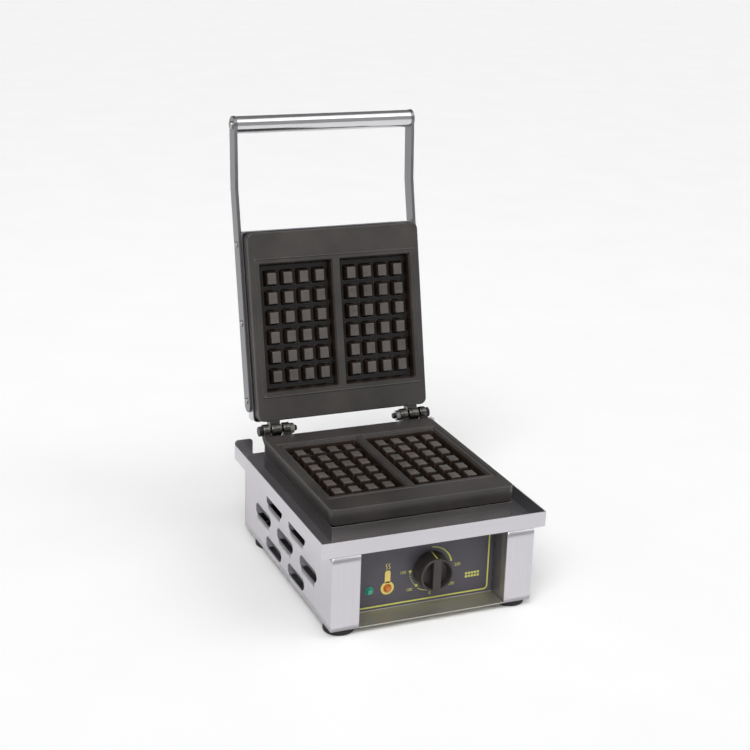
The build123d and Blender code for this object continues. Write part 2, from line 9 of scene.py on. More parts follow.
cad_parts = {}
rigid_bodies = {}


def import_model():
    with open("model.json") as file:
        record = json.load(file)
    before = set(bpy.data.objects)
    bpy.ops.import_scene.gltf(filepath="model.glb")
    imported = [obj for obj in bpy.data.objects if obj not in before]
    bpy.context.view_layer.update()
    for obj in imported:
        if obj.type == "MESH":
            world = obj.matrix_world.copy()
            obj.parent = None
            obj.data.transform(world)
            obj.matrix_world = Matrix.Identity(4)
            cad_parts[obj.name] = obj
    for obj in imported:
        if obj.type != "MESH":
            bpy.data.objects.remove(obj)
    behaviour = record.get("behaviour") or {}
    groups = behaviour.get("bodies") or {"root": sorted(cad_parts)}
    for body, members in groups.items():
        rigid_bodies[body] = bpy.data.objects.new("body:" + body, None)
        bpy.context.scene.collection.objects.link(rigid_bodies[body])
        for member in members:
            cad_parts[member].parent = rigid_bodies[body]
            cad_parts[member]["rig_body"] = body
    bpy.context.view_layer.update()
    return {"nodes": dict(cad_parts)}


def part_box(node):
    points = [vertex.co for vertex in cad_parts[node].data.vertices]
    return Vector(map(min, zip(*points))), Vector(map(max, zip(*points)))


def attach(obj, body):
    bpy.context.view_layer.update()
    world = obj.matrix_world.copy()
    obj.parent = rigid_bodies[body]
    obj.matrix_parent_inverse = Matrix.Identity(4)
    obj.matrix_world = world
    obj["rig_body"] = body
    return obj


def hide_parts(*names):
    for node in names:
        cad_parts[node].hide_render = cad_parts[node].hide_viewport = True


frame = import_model()
nodes = frame["nodes"]
mm = 0.001
print("frame loaded:", len(nodes), "nodes")

# where the machine's main faces lie, in millimetres
boxLow = np.array(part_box("left_side_panel")[0]) * 1000
trayLow, trayHigh = (np.array(c) * 1000 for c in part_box("tray_pan"))
labelLow, labelHigh = (np.array(c) * 1000 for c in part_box("control_label"))
boltLow, boltHigh = (np.array(c) * 1000 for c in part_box("hinge_bolts"))
place = {
    "rimFront": trayLow[1],
    "rimTop": trayHigh[2] - 6.5,
    "trayBottom": trayLow[2],
    "boxFront": boxLow[1],
    "boxBack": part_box("back_panel")[1][1] * 1000,
    "boxBottom": boxLow[2],
    "boxHalf": -boxLow[0],
    "openingHalf": labelHigh[0] + 0.3,
    "labelFace": labelLow[1],
    "hinge": (boltLow + boltHigh) / 2,
    "knob": (10.0, 57.0),
    "amber": (-49.0, 39.2),
}
hingeMid = place["hinge"] * [0, 1, 1]
openAngle = 103.0  # degrees from the closed lid to its open stop
lean = math.radians(openAngle)
along = np.array([0, -math.cos(lean), math.sin(lean)])  # from the hinge up the open lid
backward = np.array([0, math.sin(lean), math.cos(lean)])  # from the cooking face to the lid's back


# sRGB hex to the linear colour that a socket takes
def paint(code):
    parts = [int(code[i:i + 2], 16) / 255 for i in (1, 3, 5)]
    return tuple(c / 12.92 if c <= 0.04045 else ((c + 0.055) / 1.055) ** 2.4 for c in parts) + (1.0,)


# one shader node: its own settings, the values of its free inputs, and what feeds the others
def addNode(tree, kind, settings={}, values={}, links={}):
    node = tree.nodes.new("ShaderNode" + kind)
    for name, value in settings.items():
        setattr(node, name, value)
    for name, value in values.items():
        node.inputs[name].default_value = value
    for name, socket in links.items():
        tree.links.new(socket, node.inputs[name])
    return node


# sets the stops of a colour ramp from (position, hex or grey) pairs
def setStops(ramp, stops):
    elements = ramp.color_ramp.elements
    while len(elements) < len(stops):
        elements.new(0.5)
    for element, (position, value) in zip(elements, stops):
        element.position = position
        element.color = paint(value) if isinstance(value, str) else (value, value, value, 1.0)
    return ramp


# an empty material with its shader, output and object coordinates
def newMaterial(name, values):
    material = bpy.data.materials.new(name)
    material.use_nodes = True
    tree = material.node_tree
    tree.nodes.clear()
    shader = addNode(tree, "BsdfPrincipled", values=values)
    addNode(tree, "OutputMaterial", links={"Surface": shader.outputs["BSDF"]})
    coords = addNode(tree, "TexCoord").outputs["Object"]
    return material, tree, shader, coords


# 304 stainless sheet, satin ground: a fine straight grain, soft streaks of light along it
# and faint handling marks
def satinSteel(name, grain, light="#D5D2D7", dark="#C9C6CB", rough=(0.26, 0.38), marks=0.5, shadeFrom="",
               shadeTone=1.0):
    material, tree, shader, coords = newMaterial(name, {"Metallic": 1.0})
    # grinding lines are about 0.1 mm apart, drawn 1 mm apart so that they show at arm's length
    across, lengthways = 1000.0, 9.0
    scale = tuple(lengthways if axis == grain else across for axis in "XYZ")
    stretched = addNode(tree, "Mapping", values={"Scale": scale}, links={"Vector": coords})
    lines = addNode(tree, "TexNoise", values={"Scale": 1.0, "Detail": 3.0, "Roughness": 0.6},
                    links={"Vector": stretched.outputs[0]})
    cloud = addNode(tree, "TexNoise", values={"Scale": 9.0, "Detail": 4.0, "Roughness": 0.55},
                    links={"Vector": coords})
    handled = addNode(tree, "TexNoise",
                      values={"Scale": 38.0, "Detail": 6.0, "Roughness": 0.7, "Distortion": 0.6},
                      links={"Vector": coords})
    mixed = addNode(tree, "Mix", {"data_type": "FLOAT"}, {0: 0.45},
                    {2: lines.outputs["Fac"], 3: cloud.outputs["Fac"]})
    tint = setStops(addNode(tree, "ValToRGB", links={"Fac": mixed.outputs[0]}), [(0.3, dark), (0.7, light)])
    colour = tint.outputs["Color"]
    if shadeFrom:  # painted shade: the metal is darkened as far as the attribute says
        shade = addNode(tree, "Attribute", {"attribute_name": shadeFrom})
        paintedShade = setStops(addNode(tree, "ValToRGB", links={"Fac": shade.outputs["Fac"]}),
                        [(0.0, 1.0), (1.0, shadeTone)])
        colour = addNode(tree, "Mix", {"data_type": "RGBA", "blend_type": "MULTIPLY"}, {0: 1.0},
                         {6: colour, 7: paintedShade.outputs["Color"]}).outputs[2]
    tree.links.new(colour, shader.inputs["Base Color"])
    smear = addNode(tree, "Mix", {"data_type": "FLOAT"}, {0: marks * 0.5},
                    {2: mixed.outputs[0], 3: handled.outputs["Fac"]})
    gloss = addNode(tree, "MapRange",
                    values={"From Min": 0.3, "From Max": 0.7, "To Min": rough[0], "To Max": rough[1]},
                    links={"Value": smear.outputs[0]})
    roughness = gloss.outputs[0]
    if shadeFrom:
        roughness = addNode(tree, "Math", {"operation": "MULTIPLY_ADD"}, {1: 0.25},
                            {0: shade.outputs["Fac"], 2: roughness}).outputs[0]
    tree.links.new(roughness, shader.inputs["Roughness"])
    bump = addNode(tree, "Bump", values={"Strength": 0.05, "Distance": 0.0002},
                   links={"Height": lines.outputs["Fac"]})
    tree.links.new(bump.outputs[0], shader.inputs["Normal"])
    return material


# cast iron under a baked black enamel: half gloss, a fine orange skin, grey where the light grazes it;
# by depth, lighter on the stud tops and darker and browner deeper in the pockets: the brown is baked-on oil,
# the darkening is painted shade
def bakedIron(name):
    material, tree, shader, coords = newMaterial(name, {"Metallic": 0.0, "IOR": 1.5, "Coat Weight": 0.15,
                                                     "Coat Roughness": 0.18})
    # the sand-cast skin has lumps of 1 to 3 mm; the enamel's pits are about 0.3 mm and drawn at 0.8 mm
    lumps = addNode(tree, "TexNoise", values={"Scale": 420.0, "Detail": 3.0, "Roughness": 0.55},
                    links={"Vector": coords})
    pits = addNode(tree, "TexNoise", values={"Scale": 1250.0, "Detail": 2.0, "Roughness": 0.6},
                   links={"Vector": coords})
    cloud = addNode(tree, "TexNoise", values={"Scale": 16.0, "Detail": 5.0, "Roughness": 0.6},
                    links={"Vector": coords})
    tint = setStops(addNode(tree, "ValToRGB", links={"Fac": cloud.outputs["Fac"]}),
                    [(0.3, "#4A4644"), (0.52, "#57524F"), (0.75, "#635D59")])
    depth = addNode(tree, "Attribute", {"attribute_name": "pocketDepth"})
    # painted shade with baked-on oil: the colour is multiplied by depth, lighter on the stud tops, darker and
    # browner towards the pocket floors
    pocketOilAndShade = setStops(addNode(tree, "ValToRGB", links={"Fac": depth.outputs["Fac"]}),
                     [(0.0, 0.42), (0.12, 0.46), (0.2, 0.9), (0.3, "#957F70"), (0.9, "#46352C")])
    ironOilAndShade = addNode(tree, "Mix", {"data_type": "RGBA", "blend_type": "MULTIPLY"}, {0: 1.0},
                   {6: tint.outputs["Color"], 7: pocketOilAndShade.outputs["Color"]})
    tree.links.new(ironOilAndShade.outputs[2], shader.inputs["Base Color"])
    gloss = addNode(tree, "MapRange",
                    values={"From Min": 0.3, "From Max": 0.7, "To Min": 0.34, "To Max": 0.48},
                    links={"Value": cloud.outputs["Fac"]})
    oily = setStops(addNode(tree, "ValToRGB", links={"Fac": depth.outputs["Fac"]}),
                    [(0.05, 1.0), (0.25, 0.62)])
    polish = addNode(tree, "Math", {"operation": "MULTIPLY"},
                     links={0: gloss.outputs[0], 1: oily.outputs["Color"]})
    tree.links.new(polish.outputs[0], shader.inputs["Roughness"])
    skin = addNode(tree, "Mix", {"data_type": "FLOAT"}, {0: 0.4},
                   {2: lumps.outputs["Fac"], 3: pits.outputs["Fac"]})
    bump = addNode(tree, "Bump", values={"Strength": 0.22, "Distance": 0.0003},
                   links={"Height": skin.outputs[0]})
    tree.links.new(bump.outputs[0], shader.inputs["Normal"])
    return material


# a moulded or painted skin: two close tones in a soft cloud, a fine moulded grain, slightly uneven gloss
def mouldedSkin(name, tones, rough, grainSize, grainDepth, values={}):
    material, tree, shader, coords = newMaterial(name, {"IOR": 1.5, **values})
    cloud = addNode(tree, "TexNoise", values={"Scale": 22.0, "Detail": 4.0, "Roughness": 0.55},
                    links={"Vector": coords})
    tint = setStops(addNode(tree, "ValToRGB", links={"Fac": cloud.outputs["Fac"]}),
                    [(0.3, tones[0]), (0.7, tones[1])])
    tree.links.new(tint.outputs["Color"], shader.inputs["Base Color"])
    gloss = addNode(tree, "MapRange",
                    values={"From Min": 0.3, "From Max": 0.7, "To Min": rough[0], "To Max": rough[1]},
                    links={"Value": cloud.outputs["Fac"]})
    tree.links.new(gloss.outputs[0], shader.inputs["Roughness"])
    # one noise cell spans about one grain, so its scale is one over the grain's size
    grain = addNode(tree, "TexNoise", values={"Scale": 1000.0 / grainSize, "Detail": 2.0},
                    links={"Vector": coords})
    bump = addNode(tree, "Bump", values={"Strength": 0.3, "Distance": grainDepth * mm},
                   links={"Height": grain.outputs["Fac"]})
    tree.links.new(bump.outputs[0], shader.inputs["Normal"])
    return material


materials = {
    "steelX": satinSteel("satinStainlessAcross", "X"),
    "steelZ": satinSteel("satinStainlessUpright", "Z"),
    # painted shade on the pressed louvres: a dull dark grey that stands in for the shade in them and hides
    # the metal's shine
    "paintedShade": mouldedSkin("louvrePaintedShade", ("#66656A", "#747378"), (0.62, 0.74), 1.0, 0.03,
                        {"Metallic": 0.2}),
    # the drip tray, whose inside gets painted shade: a darker colour standing in for the shade and dark
    # reflections under the plates
    "traySteel": satinSteel("trayStainlessPaintedShade", "X", shadeFrom="trayInside", shadeTone=0.42),
    # the arms: a darker copy of the satin steel, painted dark reflection
    "armSteel": satinSteel("armStainlessPaintedDark", "Z", "#8D8C90", "#7B7A7E", (0.28, 0.4)),
    # the plate's skirt: a darker copy of the satin steel, painted shade under the plate
    "skirtSteel": satinSteel("skirtStainlessPaintedShade", "X", "#B4B0AE", "#989492", (0.34, 0.46)),
    # the control recess: a lighter, warmer copy of the satin steel, painted light in the recess
    "recessSteel": satinSteel("recessStainlessPaintedLight", "X", "#DEDCD2", "#CBC9BE", (0.42, 0.55)),
    # cast steel hinge ears with ground faces, dull grey
    "earSteel": satinSteel("groundCastSteel", "X", "#75726E", "#3C3A38", (0.2, 0.34), 0.9),
    # drawn and buffed stainless tube, nearly a mirror
    "tubeSteel": satinSteel("buffedStainlessTube", "X", "#DCDCDE", "#CFCFD2", (0.1, 0.17), 0.3),
    # zinc-plated steel fasteners, greyish with a soft shine
    "zinc": satinSteel("zincPlatedSteel", "Z", "#BFBFBC", "#9F9F9C", (0.26, 0.4)),
    # oxidised heater sheath, dull brown-grey
    "sheath": satinSteel("oxidisedHeaterSheath", "X", "#6E655E", "#4F4842", (0.5, 0.65)),
    "copper": satinSteel("drawnCopperTube", "X", "#C98863", "#A96B49", (0.25, 0.4)),
    "iron": bakedIron("bakedEnamelCastIron"),
    # black-oxide bolts, dark with a dry oily sheen
    "blackSteel": mouldedSkin("blackOxideSteel", ("#2B2A2A", "#3A3938"), (0.3, 0.42), 0.8, 0.06,
                              {"Metallic": 0.7}),
    # phenolic knob, black with a soft polish
    "phenolic": mouldedSkin("blackPhenolic", ("#2B2726", "#38322F"), (0.34, 0.46), 0.7, 0.04),
    "rubber": mouldedSkin("blackNitrileRubber", ("#141414", "#212020"), (0.62, 0.8), 0.9, 0.1),
    # polyester overlay, reverse printed in anthracite, fine matt texture
    "overlay": mouldedSkin("anthracitePolyesterOverlay", ("#48454D", "#504D55"), (0.36, 0.46), 0.6, 0.03),
    "ink": mouldedSkin("yellowScreenInk", ("#C6C65C", "#D4D36E"), (0.5, 0.62), 0.6, 0.02),
    "iconInk": mouldedSkin("warmYellowScreenInk", ("#E2CB68", "#EBD77E"), (0.5, 0.62), 0.6, 0.02),
    "glassFibre": mouldedSkin("glassFilledNylon", ("#393939", "#454545"), (0.5, 0.62), 0.8, 0.06),
    "steatite": mouldedSkin("steatiteCeramic", ("#D9D4C6", "#E6E1D4"), (0.42, 0.56), 0.9, 0.06),
    "board": mouldedSkin("mineralFibreBoard", ("#B8AF99", "#CFC7B2"), (0.85, 0.95), 2.0, 0.4),
    # moulded polycarbonate lenses over unlit lamps, clear-coated
    "greenLens": mouldedSkin("greenPolycarbonate", ("#1F8F74", "#3FA98D"), (0.12, 0.2), 1.5, 0.05,
                             {"Coat Weight": 0.6, "Subsurface Weight": 0.3, "Subsurface Scale": 0.002}),
    "amberLens": mouldedSkin("amberPolycarbonate", ("#B25C12", "#D2822C"), (0.12, 0.2), 1.5, 0.05,
                             {"Coat Weight": 0.6, "Subsurface Weight": 0.3, "Subsurface Scale": 0.002}),
}
print("materials made:", len(materials))


# quads of a grid of points, rows by columns; a closed direction joins its last line to its first
def gridFaces(rows, columns, closeRows=False, closeColumns=False):
    r = np.arange(rows if closeRows else rows - 1)[:, None]
    c = np.arange(columns if closeColumns else columns - 1)[None, :]
    nextR, nextC = (r + 1) % rows, (c + 1) % columns
    corners = np.broadcast_arrays(r * columns + c, r * columns + nextC,
                                  nextR * columns + nextC, nextR * columns + c)
    return np.stack(corners, -1).reshape(-1, 4)


# several (points, faces) pairs as one
def joined(shells):
    points, faces, count = [], [], 0
    for shellPoints, shellFaces in shells:
        points.append(shellPoints)
        faces += [tuple(int(i) + count for i in face) for face in shellFaces]
        count += len(shellPoints)
    return np.concatenate(points), faces


# a mesh object from points in millimetres; doubles are merged and faces turned outwards
def makePiece(name, shell, material, body, replaced=(), smoothBelow=38, turnOut=True):
    points, faces = shell
    mesh = bpy.data.meshes.new(name)
    mesh.from_pydata((np.asarray(points, float) * mm).tolist(), [], [tuple(int(i) for i in f) for f in faces])
    bm = bmesh.new()
    bm.from_mesh(mesh)
    bmesh.ops.remove_doubles(bm, verts=bm.verts, dist=2e-6)
    bmesh.ops.dissolve_degenerate(bm, edges=bm.edges, dist=1e-7)
    if turnOut:
        bmesh.ops.recalc_face_normals(bm, faces=bm.faces)
    bm.to_mesh(mesh)
    bm.free()
    mesh.shade_smooth()
    mesh.set_sharp_from_angle(angle=math.radians(smoothBelow))
    piece = bpy.data.objects.new(name, mesh)
    bpy.context.scene.collection.objects.link(piece)
    mesh.materials.append(materials[material])
    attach(piece, body)
    if replaced:
        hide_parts(*replaced)
    return piece


# a merged copy of a CAD node whose sharp edges are rounded off
def rounded(node, radius, material, faceMark=None):
    source = nodes[node]
    mesh = source.data.copy()
    bm = bmesh.new()
    bm.from_mesh(mesh)
    bmesh.ops.remove_doubles(bm, verts=bm.verts, dist=1e-5)
    bmesh.ops.dissolve_limit(bm, angle_limit=math.radians(0.8), verts=bm.verts, edges=bm.edges)
    bm.to_mesh(mesh)
    bm.free()
    mesh.shade_smooth()
    mesh.set_sharp_from_angle(angle=math.radians(38))
    mesh.materials.clear()
    mesh.materials.append(materials[material])
    if faceMark:  # (attribute, test): 1 on the faces whose middle and normal pass the test
        attribute, passes = faceMark
        inside = [float(passes(face.center / mm, face.normal)) for face in mesh.polygons]
        mesh.attributes.new(attribute, "FLOAT", "FACE").data.foreach_set("value", inside)
    piece = bpy.data.objects.new(node + "_rounded", mesh)
    bpy.context.scene.collection.objects.link(piece)
    bevel = piece.modifiers.new("roundedEdges", "BEVEL")
    bevel.width = radius * mm
    bevel.segments = 2
    bevel.limit_method = "ANGLE"
    bevel.angle_limit = math.radians(38)
    bevel.use_clamp_overlap = True
    piece.modifiers.new("evenShading", "WEIGHTED_NORMAL").keep_sharp = False
    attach(piece, source["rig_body"])
    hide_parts(node)


# rings of (distance along X, radius) about a line: point = (x, r cos t, r sin t), where the radius
# is a number or one value per t
def turnedX(rings, centre, segments, side=1, closed=False):
    t = np.arange(segments) * 2 * math.pi / segments
    rows = [np.stack([np.full(segments, side * x), centre[1] + r * np.cos(t), centre[2] + r * np.sin(t)], -1)
            for x, r in rings]
    return np.concatenate(rows), gridFaces(len(rings), segments, closed, True)


# the same about an upright line: point = centre + (r cos t, r sin t, z)
def turnedZ(rings, centre, segments, closed=False):
    t = np.arange(segments) * 2 * math.pi / segments
    rows = [np.stack([centre[0] + r * np.cos(t), centre[1] + r * np.sin(t), np.full(segments, z)], -1)
            for z, r in rings]
    return np.concatenate(rows), gridFaces(len(rings), segments, closed, True)


# lower and higher of two heights with a rounded crossing of width k
def softMin(a, b, k):
    h = np.clip(0.5 + 0.5 * (b - a) / k, 0, 1)
    return b + (a - b) * h - k * h * (1 - h)


def softMax(a, b, k):
    return -softMin(-a, -b, k)


plate = {
    "halfWidth": 126.0, "depth": 259.0, "thickness": 21.0, "corner": 9.0, "edge": 1.5,
    "cavityWidth": 106.5, "cavityLength": 177.5, "cavityDepth": 15.0, "frontLand": 42.5, "rib": 10.5,
    "draft": math.tan(math.radians(12)), "studDrop": 3.0,
    "columns": 4, "rows": 6, "pitchX": 23.4, "pitchY": 27.0, "studWidth": 12.3, "studLength": 15.5,
    "topRound": 2.6, "footRound": 4.0, "outlineRound": 2.0,
    "ring": 6.0, "ringHalf": 1.2, "lowerRing": -1.2, "upperRing": 0.9,
    "front": 38.5, "top": 155.0, "lidEdge": 12.5, "lidFace": -1.2,
}


# height of the cooking face: pockets and studs are ramps of the draft's slope, cut off flat at the face,
# the floor and the stud tops, with every crossing rounded; the ring is a shallow bump (+) or groove (-)
def plateHeight(x, y, p, ring):
    slope = 1 / p["draft"]
    midX = (p["rib"] + p["cavityWidth"]) / 2
    midY = p["frontLand"] + p["cavityLength"] / 2
    u = np.abs(x) - midX
    v = y - midY
    inset = softMin(p["cavityWidth"] / 2 - np.abs(u), p["cavityLength"] / 2 - np.abs(v), p["outlineRound"])
    pocket = softMin(np.zeros_like(inset), -inset * slope, p["topRound"])
    pocket = softMax(pocket, np.full_like(inset, -p["cavityDepth"]), p["footRound"])
    halfC, halfR = (p["columns"] - 1) / 2, (p["rows"] - 1) / 2
    column = np.clip(np.round(u / p["pitchX"] + halfC), 0, p["columns"] - 1) - halfC
    row = np.clip(np.round(v / p["pitchY"] + halfR), 0, p["rows"] - 1) - halfR
    outside = softMax(np.abs(u - column * p["pitchX"]) - p["studWidth"] / 2,
                      np.abs(v - row * p["pitchY"]) - p["studLength"] / 2, 1.2)
    stud = -p["studDrop"] + softMin(np.zeros_like(outside), -outside * slope, p["topRound"])
    height = np.where(inset > 0, softMax(pocket, stud, p["footRound"]), pocket)
    # a rounded line around both pockets
    ringX = p["rib"] / 2 + p["cavityWidth"] + p["ring"]
    ringY = p["cavityLength"] / 2 + p["ring"]
    away = np.abs(softMax(np.abs(x) - ringX, np.abs(v) - ringY, 3.0))
    return height + ring * np.clip(1 - (away / p["ringHalf"]) ** 2, 0, 1)


# grid lines that crowd at the walls: each edge carries lines on its own side
def crowded(edges, plain):
    steps = np.array([-0.9, -0.45, -0.15, 0.1, 0.35, 0.7, 1.2, 1.8, 2.4, 2.9, 3.4, 4.1])
    lines = [edge + sign * steps for edge, sign in edges]
    lines = np.unique(np.round(np.concatenate(lines + [np.asarray(plain)]), 2))
    return lines[np.r_[True, np.diff(lines) > 0.04]]


# the face is a grid whose corners are pressed round, then a skirt of rings down the sides and a flat back
def plateShell(p, ring):
    half, depth, edge = p["halfWidth"] - p["edge"], p["depth"], p["edge"]
    corner = p["corner"] - edge
    midX = (p["rib"] + p["cavityWidth"]) / 2
    midY = p["frontLand"] + p["cavityLength"] / 2
    xEdges, yEdges = [], []
    for side in (-1, 1):
        xEdges += [(side * p["rib"] / 2, side), (side * (p["rib"] / 2 + p["cavityWidth"]), -side)]
        yEdges += [(midY + side * p["cavityLength"] / 2, -side)]
        for i in range(p["columns"]):
            middle = side * (midX + (i - (p["columns"] - 1) / 2) * p["pitchX"])
            xEdges += [(middle - p["studWidth"] / 2, -1), (middle + p["studWidth"] / 2, 1)]
        for j in range(p["rows"]):
            yEdges += [(midY + (j - (p["rows"] - 1) / 2) * p["pitchY"] + side * p["studLength"] / 2, side)]
    bend = np.linspace(0, 1, 8) * corner
    around = np.array([-1.2, -0.7, -0.3, 0, 0.3, 0.7, 1.2])
    ringX = p["rib"] / 2 + p["cavityWidth"] + p["ring"]
    ringY = p["cavityLength"] / 2 + p["ring"]
    xs = crowded(xEdges, np.r_[half - corner + bend, -(half - corner + bend),
                               ringX + around, -ringX + around])
    ys = crowded(yEdges, np.r_[edge + corner - bend, depth - edge - corner + bend,
                               midY - ringY + around, midY + ringY + around])
    xs, ys = xs[np.abs(xs) <= half], ys[(ys >= edge) & (ys <= depth - edge)]
    x, y = np.meshgrid(xs, ys)
    h = plateHeight(x, y, p, ring)
    # square corners pressed onto a quarter circle: (u, v) times max(u, v) / length(u, v)
    yMid = depth / 2
    u = np.clip(np.abs(x) - (half - corner), 0, None)
    v = np.clip(np.abs(y - yMid) - (yMid - edge - corner), 0, None)
    size = np.where((u > 0) & (v > 0), np.maximum(u, v) / np.maximum(np.hypot(u, v), 1e-9), 1)
    px = np.where(u > 0, np.sign(x) * (half - corner + u * size), x)
    py = np.where(v > 0, yMid + np.sign(y - yMid) * (yMid - edge - corner + v * size), y)
    top = np.stack([px, py, h], -1).reshape(-1, 3)
    rows, columns = x.shape
    index = np.arange(rows * columns).reshape(rows, columns)
    rim = np.concatenate([index[0, :-1], index[:-1, -1], index[-1, :0:-1], index[:0:-1, 0]])
    loop = top[rim]
    core = np.stack([np.clip(loop[:, 0], -(half - corner), half - corner),
                     np.clip(loop[:, 1], edge + corner, depth - edge - corner)], -1)
    out = loop[:, :2] - core
    out /= np.maximum(np.linalg.norm(out, axis=1, keepdims=True), 1e-9)
    turn = np.radians([22.5, 45, 67.5, 90])
    profile = [(edge * math.sin(a), -edge * (1 - math.cos(a))) for a in turn]
    profile += [(edge, -p["thickness"] + 1.0), (edge - 0.3, -p["thickness"] + 0.3),
                (edge - 1.0, -p["thickness"])]
    bands = [np.column_stack([loop[:, :2] + out * grow, loop[:, 2] + drop]) for grow, drop in profile]
    n = len(rim)
    start = len(top)
    faces = [tuple(f) for f in gridFaces(rows, columns)]
    ringIndex = np.concatenate([rim[None, :], start + np.arange(len(bands) * n).reshape(len(bands), n)])
    a, b = ringIndex[:-1], ringIndex[1:]
    skirt = np.stack([a, np.roll(a, -1, 1), np.roll(b, -1, 1), b], -1).reshape(-1, 4)
    faces += [tuple(f[::-1]) for f in skirt]
    faces.append(tuple(ringIndex[-1]))
    return np.concatenate([top] + bands), faces


# an ear: rays from the bolt's axis reach a circle or, where it sticks out further, the web's outline
def earShell(x0, x1, web, radius, bore, count=72):
    angle = np.arange(count) * 2 * math.pi / count
    ray = np.stack([np.cos(angle), np.sin(angle)], -1)[:, None, :]
    start = np.array(web, float)
    step = np.roll(start, -1, 0) - start
    cross = ray[..., 0] * step[:, 1] - ray[..., 1] * step[:, 0]
    cross = np.where(np.abs(cross) < 1e-9, 1e-9, cross)
    reach = (start[:, 0] * step[:, 1] - start[:, 1] * step[:, 0]) / cross
    share = (start[:, 0] * ray[..., 1] - start[:, 1] * ray[..., 0]) / cross
    hit = np.where((share >= 0) & (share <= 1) & (reach > 0), reach, 0).max(1)
    outer = np.maximum(hit, radius)
    soft = 1.0
    rings = [(x0, bore), (x0, outer - soft), (x0 + soft * 0.3, outer - soft * 0.3), (x0 + soft, outer),
             (x1 - soft, outer), (x1 - soft * 0.3, outer - soft * 0.3), (x1, outer - soft), (x1, bore)]
    return turnedX(rings, (0, 0, 0), count, closed=True)


hinge = {"outer": (113.0, 122.5), "inner": (83.5, 93.5), "lid": (96.3, 110.5), "radius": 9.0, "bore": 4.05}


def lowerEars():
    web = [(-16, -21), (-16, -3), (-8.7, -3), (0, 0), (3.4, -8.3)]
    shells = []
    for x0, x1 in (hinge["outer"], hinge["inner"]):
        for side in (-1, 1):
            points, faces = earShell(x0, x1, web, hinge["radius"], hinge["bore"])
            shells.append((points * [side, 1, 1] + hingeMid, faces))
    return shells


# closed-lid coordinates (x, distance behind the hinge, height over it) turned to the open lid's place
def openLid(points):
    flat = np.asarray(points, float)
    return flat[:, :1] * [1, 0, 0] - flat[:, 1:2] * along + flat[:, 2:] * backward + hingeMid


def upperEars():
    web = [(-15, -1.2), (-15, 17), (3.9, 8.1), (0, 0), (-8.5, -1.2)]
    shells = []
    for side in (-1, 1):
        points, faces = earShell(*hinge["lid"], web, hinge["radius"], hinge["bore"])
        shells.append((openLid(points * [side, 1, 1]), faces))
    return shells


# how deep each point lies under the cooking face, 0 to 1, for the baked-on tint and painted shade; 0 outside
# the two pockets, which lie between two distances from the plate's front edge, measured along run
def markDepth(piece, axis, face, run, start):
    p = plate
    co = np.zeros(len(piece.data.vertices) * 3)
    piece.data.vertices.foreach_get("co", co)
    co = co.reshape(-1, 3) / mm
    below = (face - co @ np.asarray(axis)) / p["cavityDepth"]
    fromFront = co @ np.asarray(run) - start
    inPocket = (fromFront > p["frontLand"] - 1) & (fromFront < p["frontLand"] + p["cavityLength"] + 1)
    inPocket &= np.abs(co[:, 0]) < p["rib"] / 2 + p["cavityWidth"] + 1
    depth = np.where(inPocket, np.clip(below, 0, 1), 0).astype(np.float32)
    piece.data.attributes.new("pocketDepth", "FLOAT", "POINT").data.foreach_set("value", depth)


points, faces = plateShell(plate, plate["lowerRing"])
lowerShell = (points + [0, place["rimFront"] + plate["front"], plate["top"]], faces)
lowerPlate = makePiece("lower_waffle_plate", lowerShell, "iron", "base", ["lower_plate"])
markDepth(lowerPlate, (0, 0, 1), plate["top"], (0, 1, 0), place["rimFront"] + plate["front"])

points, faces = plateShell(plate, plate["upperRing"])
closed = np.stack([points[:, 0], points[:, 1] - plate["lidEdge"] - plate["depth"],
                   plate["lidFace"] - points[:, 2]], -1)
upperPlate = makePiece("upper_waffle_plate", (openLid(closed), faces), "iron", "lid",
                       ["upper_plate"])
markDepth(upperPlate, -backward, hingeMid @ -backward - plate["lidFace"], -along,
          -(plate["lidEdge"] + plate["depth"] + hingeMid @ along))
makePiece("lower_ears_cast", joined(lowerEars()), "earSteel", "base", ["lower_hinge_ears"])
makePiece("upper_ears_cast", joined(upperEars()), "earSteel", "lid", ["upper_hinge_ears"])
print("cooking plates made:", len(lowerPlate.data.polygons), len(upperPlate.data.polygons), "faces")


bolt = {
    "start": 72.5, "threadEnd": 84.0, "radius": 4.0, "pitch": 1.25, "threadDepth": 0.42, "tip": 3.0,
    "head": 5.5, "across": 13.0, "seatRound": 6.9, "endRound": 6.4, "chamfer": 0.7, "nutHeight": 6.5,
}


# a hexagon's radius round the turn: half the width across flats over the cosine of the angle
# from the flat's middle
def hexagon(t, across):
    return across / 2 / np.cos((t + math.pi / 6) % (math.pi / 3) - math.pi / 6)


# the thread's radius falls and rises once per pitch and shifts by one pitch a turn
def boltShell(side):
    segments = 48
    t = np.arange(segments) * 2 * math.pi / segments
    hexR = hexagon(t, bolt["across"])
    rings = [(bolt["start"], np.zeros(segments)), (bolt["start"], np.full(segments, bolt["tip"]))]
    for x in np.linspace(bolt["start"] + 0.6, bolt["threadEnd"], 62):
        wave = 0.5 + 0.5 * np.cos(2 * math.pi * (x / bolt["pitch"]) - t)
        rings.append((x, bolt["radius"] - bolt["threadDepth"] * wave))
    seat = hinge["outer"][1]
    end = seat + bolt["head"]
    shank = np.full(segments, bolt["radius"])
    rings += [(bolt["threadEnd"] + 0.4, shank), (seat, shank), (seat, np.minimum(hexR, bolt["seatRound"])),
              (seat + 0.4, hexR), (end - bolt["chamfer"], hexR), (end, np.minimum(hexR, bolt["endRound"])),
              (end, np.zeros(segments))]
    return turnedX(rings, place["hinge"], segments, side)


